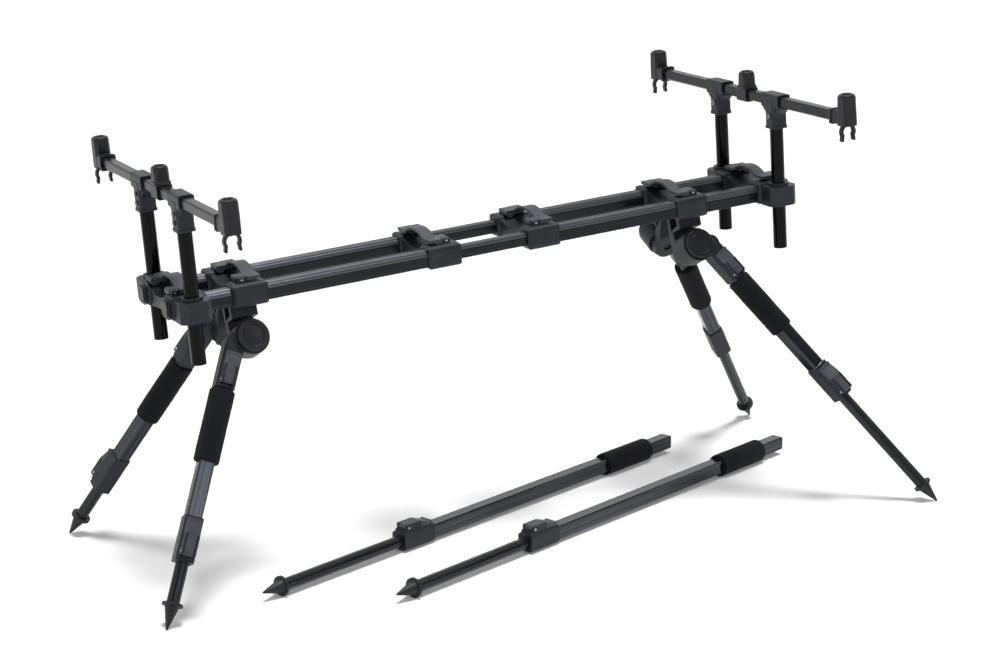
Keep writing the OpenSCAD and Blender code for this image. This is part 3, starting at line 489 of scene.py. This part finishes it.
# Rail plugs, hub discs and alarm sockets: small mouldings in the same nylon, coloured black.
# Their tools are finer than the clamps', so the plastic is a little smoother.
black_nylon = grained_nylon("black fine-grained nylon", "#101116", "#2e2f36", 0.38, grain_mm=0.4)
for node in ("rear_rail_plugs", "front_rail_plugs", "rear_hub_discs", "front_hub_discs",
             "rear_alarm_sockets", "front_alarm_sockets"):
    dress(node, black_nylon)

# Bars: flat aluminium tubes, extruded and black anodised like the rails, that lie across the pod.
# Their die lines run from socket to socket.
bar_finish = extruded_anodised("black anodised bar tube", "#0e0f12", "#1e2024", "#55575d", 0.26, 0.25,
                               frame_rows(along, (0, 1, 0)))
for node in ("rear_bar", "front_bar"):
    dress(node, bar_finish)

# Uprights: thin round aluminium sticks, drawn, polished and then anodised deep black.
# They are the smoothest and darkest pieces of the pod.
upright_finish = extruded_anodised("polished black anodised tube", "#030304", "#08080a", "#26272b", 0.1, 0.1,
                                   frame_rows(along, up), streak_mm=1.6, length_mm=120, shine=0.12)
for node in ("rear_uprights", "front_uprights"):
    dress(node, upright_finish)

# Legs: a nylon knuckle and latch, a drawn gunmetal tube with a moulded flip lock, and a black lower tube with a
# spike. The tube and its lock are one node, and so are the lower tube and its foot, so a finish changes along it.
legs = ("rear_left", "rear_right", "front_left", "front_right")
all_legs = legs + ("spare_a", "spare_b")
for leg in legs:
    dress(leg + "_knuckle", slate_nylon)
    dress(leg + "_latch", lever_nylon)
for leg in all_legs:
    dress(leg + "_lock_lever", lever_nylon)


def tube_with_moulding(name, rows, origin, start, end, tube_and_highlight_colours, tube_rough, metal, nylon_colours):
    """Drawn tube, but grained nylon from start to end metres down the leg from origin. The tube has die lines
    of 0.9 by 170 mm and painted reflection bands of 4 by 200 mm, and the nylon has grain of 0.55 mm."""
    material, tree = new_material(name)
    where = placed_coordinates(tree, rows, origin)
    down = add(tree, "ShaderNodeSeparateXYZ", {}, {0: where.outputs[0]})
    above = add(tree, "ShaderNodeMath", {"operation": "GREATER_THAN"}, {0: down.outputs["Z"], 1: start})
    below = add(tree, "ShaderNodeMath", {"operation": "LESS_THAN"}, {0: down.outputs["Z"], 1: end})
    moulded = add(tree, "ShaderNodeMath", {"operation": "MULTIPLY"},
                  {0: above.outputs[0], 1: below.outputs[0]})
    drawn = add(tree, "ShaderNodeMapping", {"vector_type": "POINT"}, {
        "Vector": where.outputs[0], "Scale": (1100, 1100, 6)})
    lines = add(tree, "ShaderNodeTexNoise", {}, {"Vector": drawn.outputs[0], "Scale": 1.0, "Detail": 3.0})
    grain = add(tree, "ShaderNodeTexNoise", {}, {
        "Vector": where.outputs[0], "Scale": 1000 / 0.55, "Detail": 2.0, "Roughness": 0.6})
    soft, edge = rounded_edges(tree, radius_mm=0.7)
    # Painted reflection: long bands along the tube, together with the die lines, lighten its colour.
    reflection_stretch = add(tree, "ShaderNodeMapping", {"vector_type": "POINT"}, {
        "Vector": where.outputs[0], "Scale": (240, 240, 5)})
    painted_reflection = add(tree, "ShaderNodeTexNoise", {}, {"Vector": reflection_stretch.outputs[0], "Scale": 1.0, "Detail": 1.0})
    die_lines_and_reflection = add(tree, "ShaderNodeMath", {"operation": "ADD"}, {0: lines.outputs[0], 1: painted_reflection.outputs[0]})
    die_lines_and_reflection = add(tree, "ShaderNodeMapRange", {}, {
        "Value": die_lines_and_reflection.outputs[0], "From Min": 0.75, "From Max": 1.25, "To Min": 0.0, "To Max": 1.0})
    metal_tint = add(tree, "ShaderNodeMix", {"data_type": "RGBA"},
                     {0: die_lines_and_reflection.outputs[0], 6: linear(tube_and_highlight_colours[0]), 7: linear(tube_and_highlight_colours[1])})
    # Painted highlight: the edge mask turns the tube's colour to its third colour along sharp edges.
    metal_tint = add(tree, "ShaderNodeMix", {"data_type": "RGBA"},
                     {0: edge, 6: metal_tint.outputs[2], 7: linear(tube_and_highlight_colours[2])})
    wear = add(tree, "ShaderNodeMath", {"operation": "MULTIPLY"}, {0: edge, 1: 0.55})
    nylon_tint = add(tree, "ShaderNodeMix", {"data_type": "RGBA"},
                     {0: wear.outputs[0], 6: linear(nylon_colours[0]), 7: linear(nylon_colours[1])})
    tint = add(tree, "ShaderNodeMix", {"data_type": "RGBA"},
               {0: moulded.outputs[0], 6: metal_tint.outputs[2], 7: nylon_tint.outputs[2]})
    gloss = add(tree, "ShaderNodeMapRange", {}, {
        "Value": lines.outputs[0], "From Min": 0.3, "From Max": 0.7,
        "To Min": tube_rough - 0.06, "To Max": tube_rough + 0.08})
    satin = add(tree, "ShaderNodeMapRange", {}, {
        "Value": grain.outputs[0], "From Min": 0.3, "From Max": 0.7, "To Min": 0.42, "To Max": 0.56})
    rough = add(tree, "ShaderNodeMix", {"data_type": "FLOAT"},
                {0: moulded.outputs[0], 2: gloss.outputs[0], 3: satin.outputs[0]})
    metallic = add(tree, "ShaderNodeMapRange", {}, {
        "Value": moulded.outputs[0], "From Min": 0.0, "From Max": 1.0, "To Min": metal, "To Max": 0.0})
    relief = add(tree, "ShaderNodeMix", {"data_type": "FLOAT"},
                 {0: moulded.outputs[0], 2: lines.outputs[0], 3: grain.outputs[0]})
    bumps = add(tree, "ShaderNodeBump", {}, {
        "Strength": 0.3, "Distance": 0.00004, "Height": relief.outputs[0], "Normal": soft})
    shader = add(tree, "ShaderNodeBsdfPrincipled", {}, {
        "Base Color": tint.outputs[2], "Metallic": metallic.outputs[0], "Roughness": rough.outputs[0],
        "Specular IOR Level": 0.3, "Normal": bumps.outputs[0]})
    add(tree, "ShaderNodeOutputMaterial", {}, {"Surface": shader.outputs[0]})
    return material


lock_above, lock_below = 0.04002, 0.00902
foot_length, past_tip = 0.0286, 0.01
for leg in all_legs:
    down_leg = Vector(joints[leg + "_lower_leg_slide"]["axis"])
    lever_pivot = Vector(joints[leg + "_lock_lever_pivot"]["pos_m"])
    side = Vector(joints[leg + "_lock_lever_pivot"]["axis"])
    rows = frame_rows(side.cross(down_leg), down_leg)
    # Tube colours: dark tube, lighter tube under the die lines and painted reflection bands, and painted edge
    # highlight.
    dress(leg + "_leg_tube", tube_with_moulding(
        f"gunmetal drawn tube and lock {leg}", rows, lever_pivot, -lock_above, lock_below,
        ("#26282d", "#46484e", "#84868c"), 0.2, 0.8, ("#1b1d26", "#3c3f4a")))
    low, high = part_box(leg + "_lower_leg")
    middle = (low + high) / 2
    corners = frame["nodes"][leg + "_lower_leg"].data.vertices
    reach = max((corner.co - middle).dot(down_leg) for corner in corners)
    dress(leg + "_lower_leg", tube_with_moulding(
        f"black fluted tube and foot {leg}", rows, middle, reach - foot_length, reach + past_tip,
        ("#131417", "#303236", "#6b6d72"), 0.2, 0.5, ("#1f2024", "#3d3e44")))

# Lock and latch pins: steel dowels like those of the cam levers, a little thicker.
# Each is pressed through the two lugs of a flip lever, and its bright ends stand just out of them.
flip_pin_radius, flip_lug_face = 0.0016, 0.0079
flip_levers = [(leg + "_latch_pivot", leg + "_latch") for leg in legs]
flip_levers += [(leg + "_lock_lever_pivot", leg + "_lock_lever") for leg in all_legs]
for joint, body in flip_levers:
    pivot, axis = np.array(joints[joint]["pos_m"]), np.array(joints[joint]["axis"])
    pins = domed_ends(body + "_pin_ends", [pivot - axis * flip_lug_face, pivot + axis * flip_lug_face],
                      [-axis, axis], flip_pin_radius, pin_dome)
    pins.data.materials.append(pin_steel)
    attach(pins, body)

# Foam grips: closed-cell foam tube, ground to size and pushed over the leg.
# Its skin is matt black with open pores, its ends are rolled over and its surface is not quite even.
grip_outer, grip_inner, grip_corner, grip_swell = 0.0140, 0.0088, 0.0022, 0.00015
grip_length, spare_grip_length = 0.081, 0.086


def foam_sleeve(name, centre, axis, length, outer, inner, corner, seed, around=160, steps=220):
    """Closed sleeve: a rounded rectangle between radii inner and outer is turned about the axis.
    Corners follow radius corner; the skin swells by low waves of grip_swell along and around."""
    flat = length / 2 - corner
    bend = np.linspace(0, np.pi / 2, 10)
    rim = outer - corner
    top = np.stack([rim + corner * np.sin(bend), flat + corner * np.cos(bend)], axis=1)
    wall = np.stack([np.full(steps, outer), np.linspace(flat, -flat, steps)], axis=1)[1:-1]
    bottom = np.stack([rim + corner * np.cos(bend), -flat - corner * np.sin(bend)], axis=1)
    bore = np.stack([np.full(12, inner), np.linspace(-length / 2, length / 2, 12)], axis=1)
    profile = np.vstack([top, wall, bottom, bore])
    turn = np.linspace(0, 2 * np.pi, around, endpoint=False)
    r, z = profile[:, 0][:, None], profile[:, 1][:, None]
    skin = np.clip((r - inner) / (outer - inner), 0, 1)
    waves = np.random.default_rng(seed).uniform(0, 2 * np.pi, 4)
    swell = (0.45 * np.sin(z * 95 + 2 * turn + waves[0]) + 0.3 * np.sin(z * 210 - 3 * turn + waves[1])
             + 0.25 * np.sin(5 * turn + waves[2] + z * 40)) * grip_swell
    r = r + skin * (swell - grip_swell)
    across, other, axis = square_axes(axis)
    grid = (np.array(centre) + z[..., None] * axis
            + (r * np.cos(turn))[..., None] * across + (r * np.sin(turn))[..., None] * other)
    outward = closed_quads(len(profile), around)[:, [0, 3, 2, 1]]
    return new_mesh(name, grid.reshape(-1, 3), outward)


def closed_cell_foam(name, colour, dust, pore_mm=1.1):
    """Ground foam: pores of about pore_mm, drawn coarser than the real 0.5 mm so that they show, with specks of
    0.45 mm and clouds of 14 mm in the colour."""
    material, tree = new_material(name)
    place = add(tree, "ShaderNodeTexCoord", {}, {})
    pores = add(tree, "ShaderNodeTexVoronoi", {"feature": "F1"}, {
        "Vector": place.outputs["Object"], "Scale": 1000 / pore_mm, "Randomness": 1.0})
    fine = add(tree, "ShaderNodeTexNoise", {}, {
        "Vector": place.outputs["Object"], "Scale": 2200.0, "Detail": 3.0})
    cloud = add(tree, "ShaderNodeTexNoise", {}, {
        "Vector": place.outputs["Object"], "Scale": 70.0, "Detail": 4.0})
    mottled = add(tree, "ShaderNodeMath", {"operation": "MULTIPLY"},
                  {0: fine.outputs[0], 1: cloud.outputs[0]})
    tint = add(tree, "ShaderNodeMix", {"data_type": "RGBA"},
               {0: mottled.outputs[0], 6: linear(colour), 7: linear(dust)})
    height = add(tree, "ShaderNodeMath", {"operation": "ADD"},
                 {0: pores.outputs["Distance"], 1: fine.outputs[0]})
    bumps = add(tree, "ShaderNodeBump", {}, {"Strength": 0.5, "Distance": 0.0002, "Height": height.outputs[0]})
    shader = add(tree, "ShaderNodeBsdfPrincipled", {}, {
        "Base Color": tint.outputs[2], "Roughness": 0.95, "IOR": 1.3, "Sheen Weight": 0.03,
        "Normal": bumps.outputs[0]})
    add(tree, "ShaderNodeOutputMaterial", {}, {"Surface": shader.outputs[0]})
    return material


foam_black = closed_cell_foam("black closed-cell foam", "#0a0b0f", "#1a1c22")
for seed, leg in enumerate(all_legs):
    low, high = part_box(leg + "_grip")
    down_leg = Vector(joints[leg + "_lower_leg_slide"]["axis"])
    length = grip_length if leg in legs else spare_grip_length
    grip = foam_sleeve(leg + "_foam_grip", (low + high) / 2, down_leg, length, grip_outer, grip_inner,
                       grip_corner, seed)
    grip.data.materials.append(foam_black)
    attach(grip, leg + "_leg")
    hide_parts(leg + "_grip")
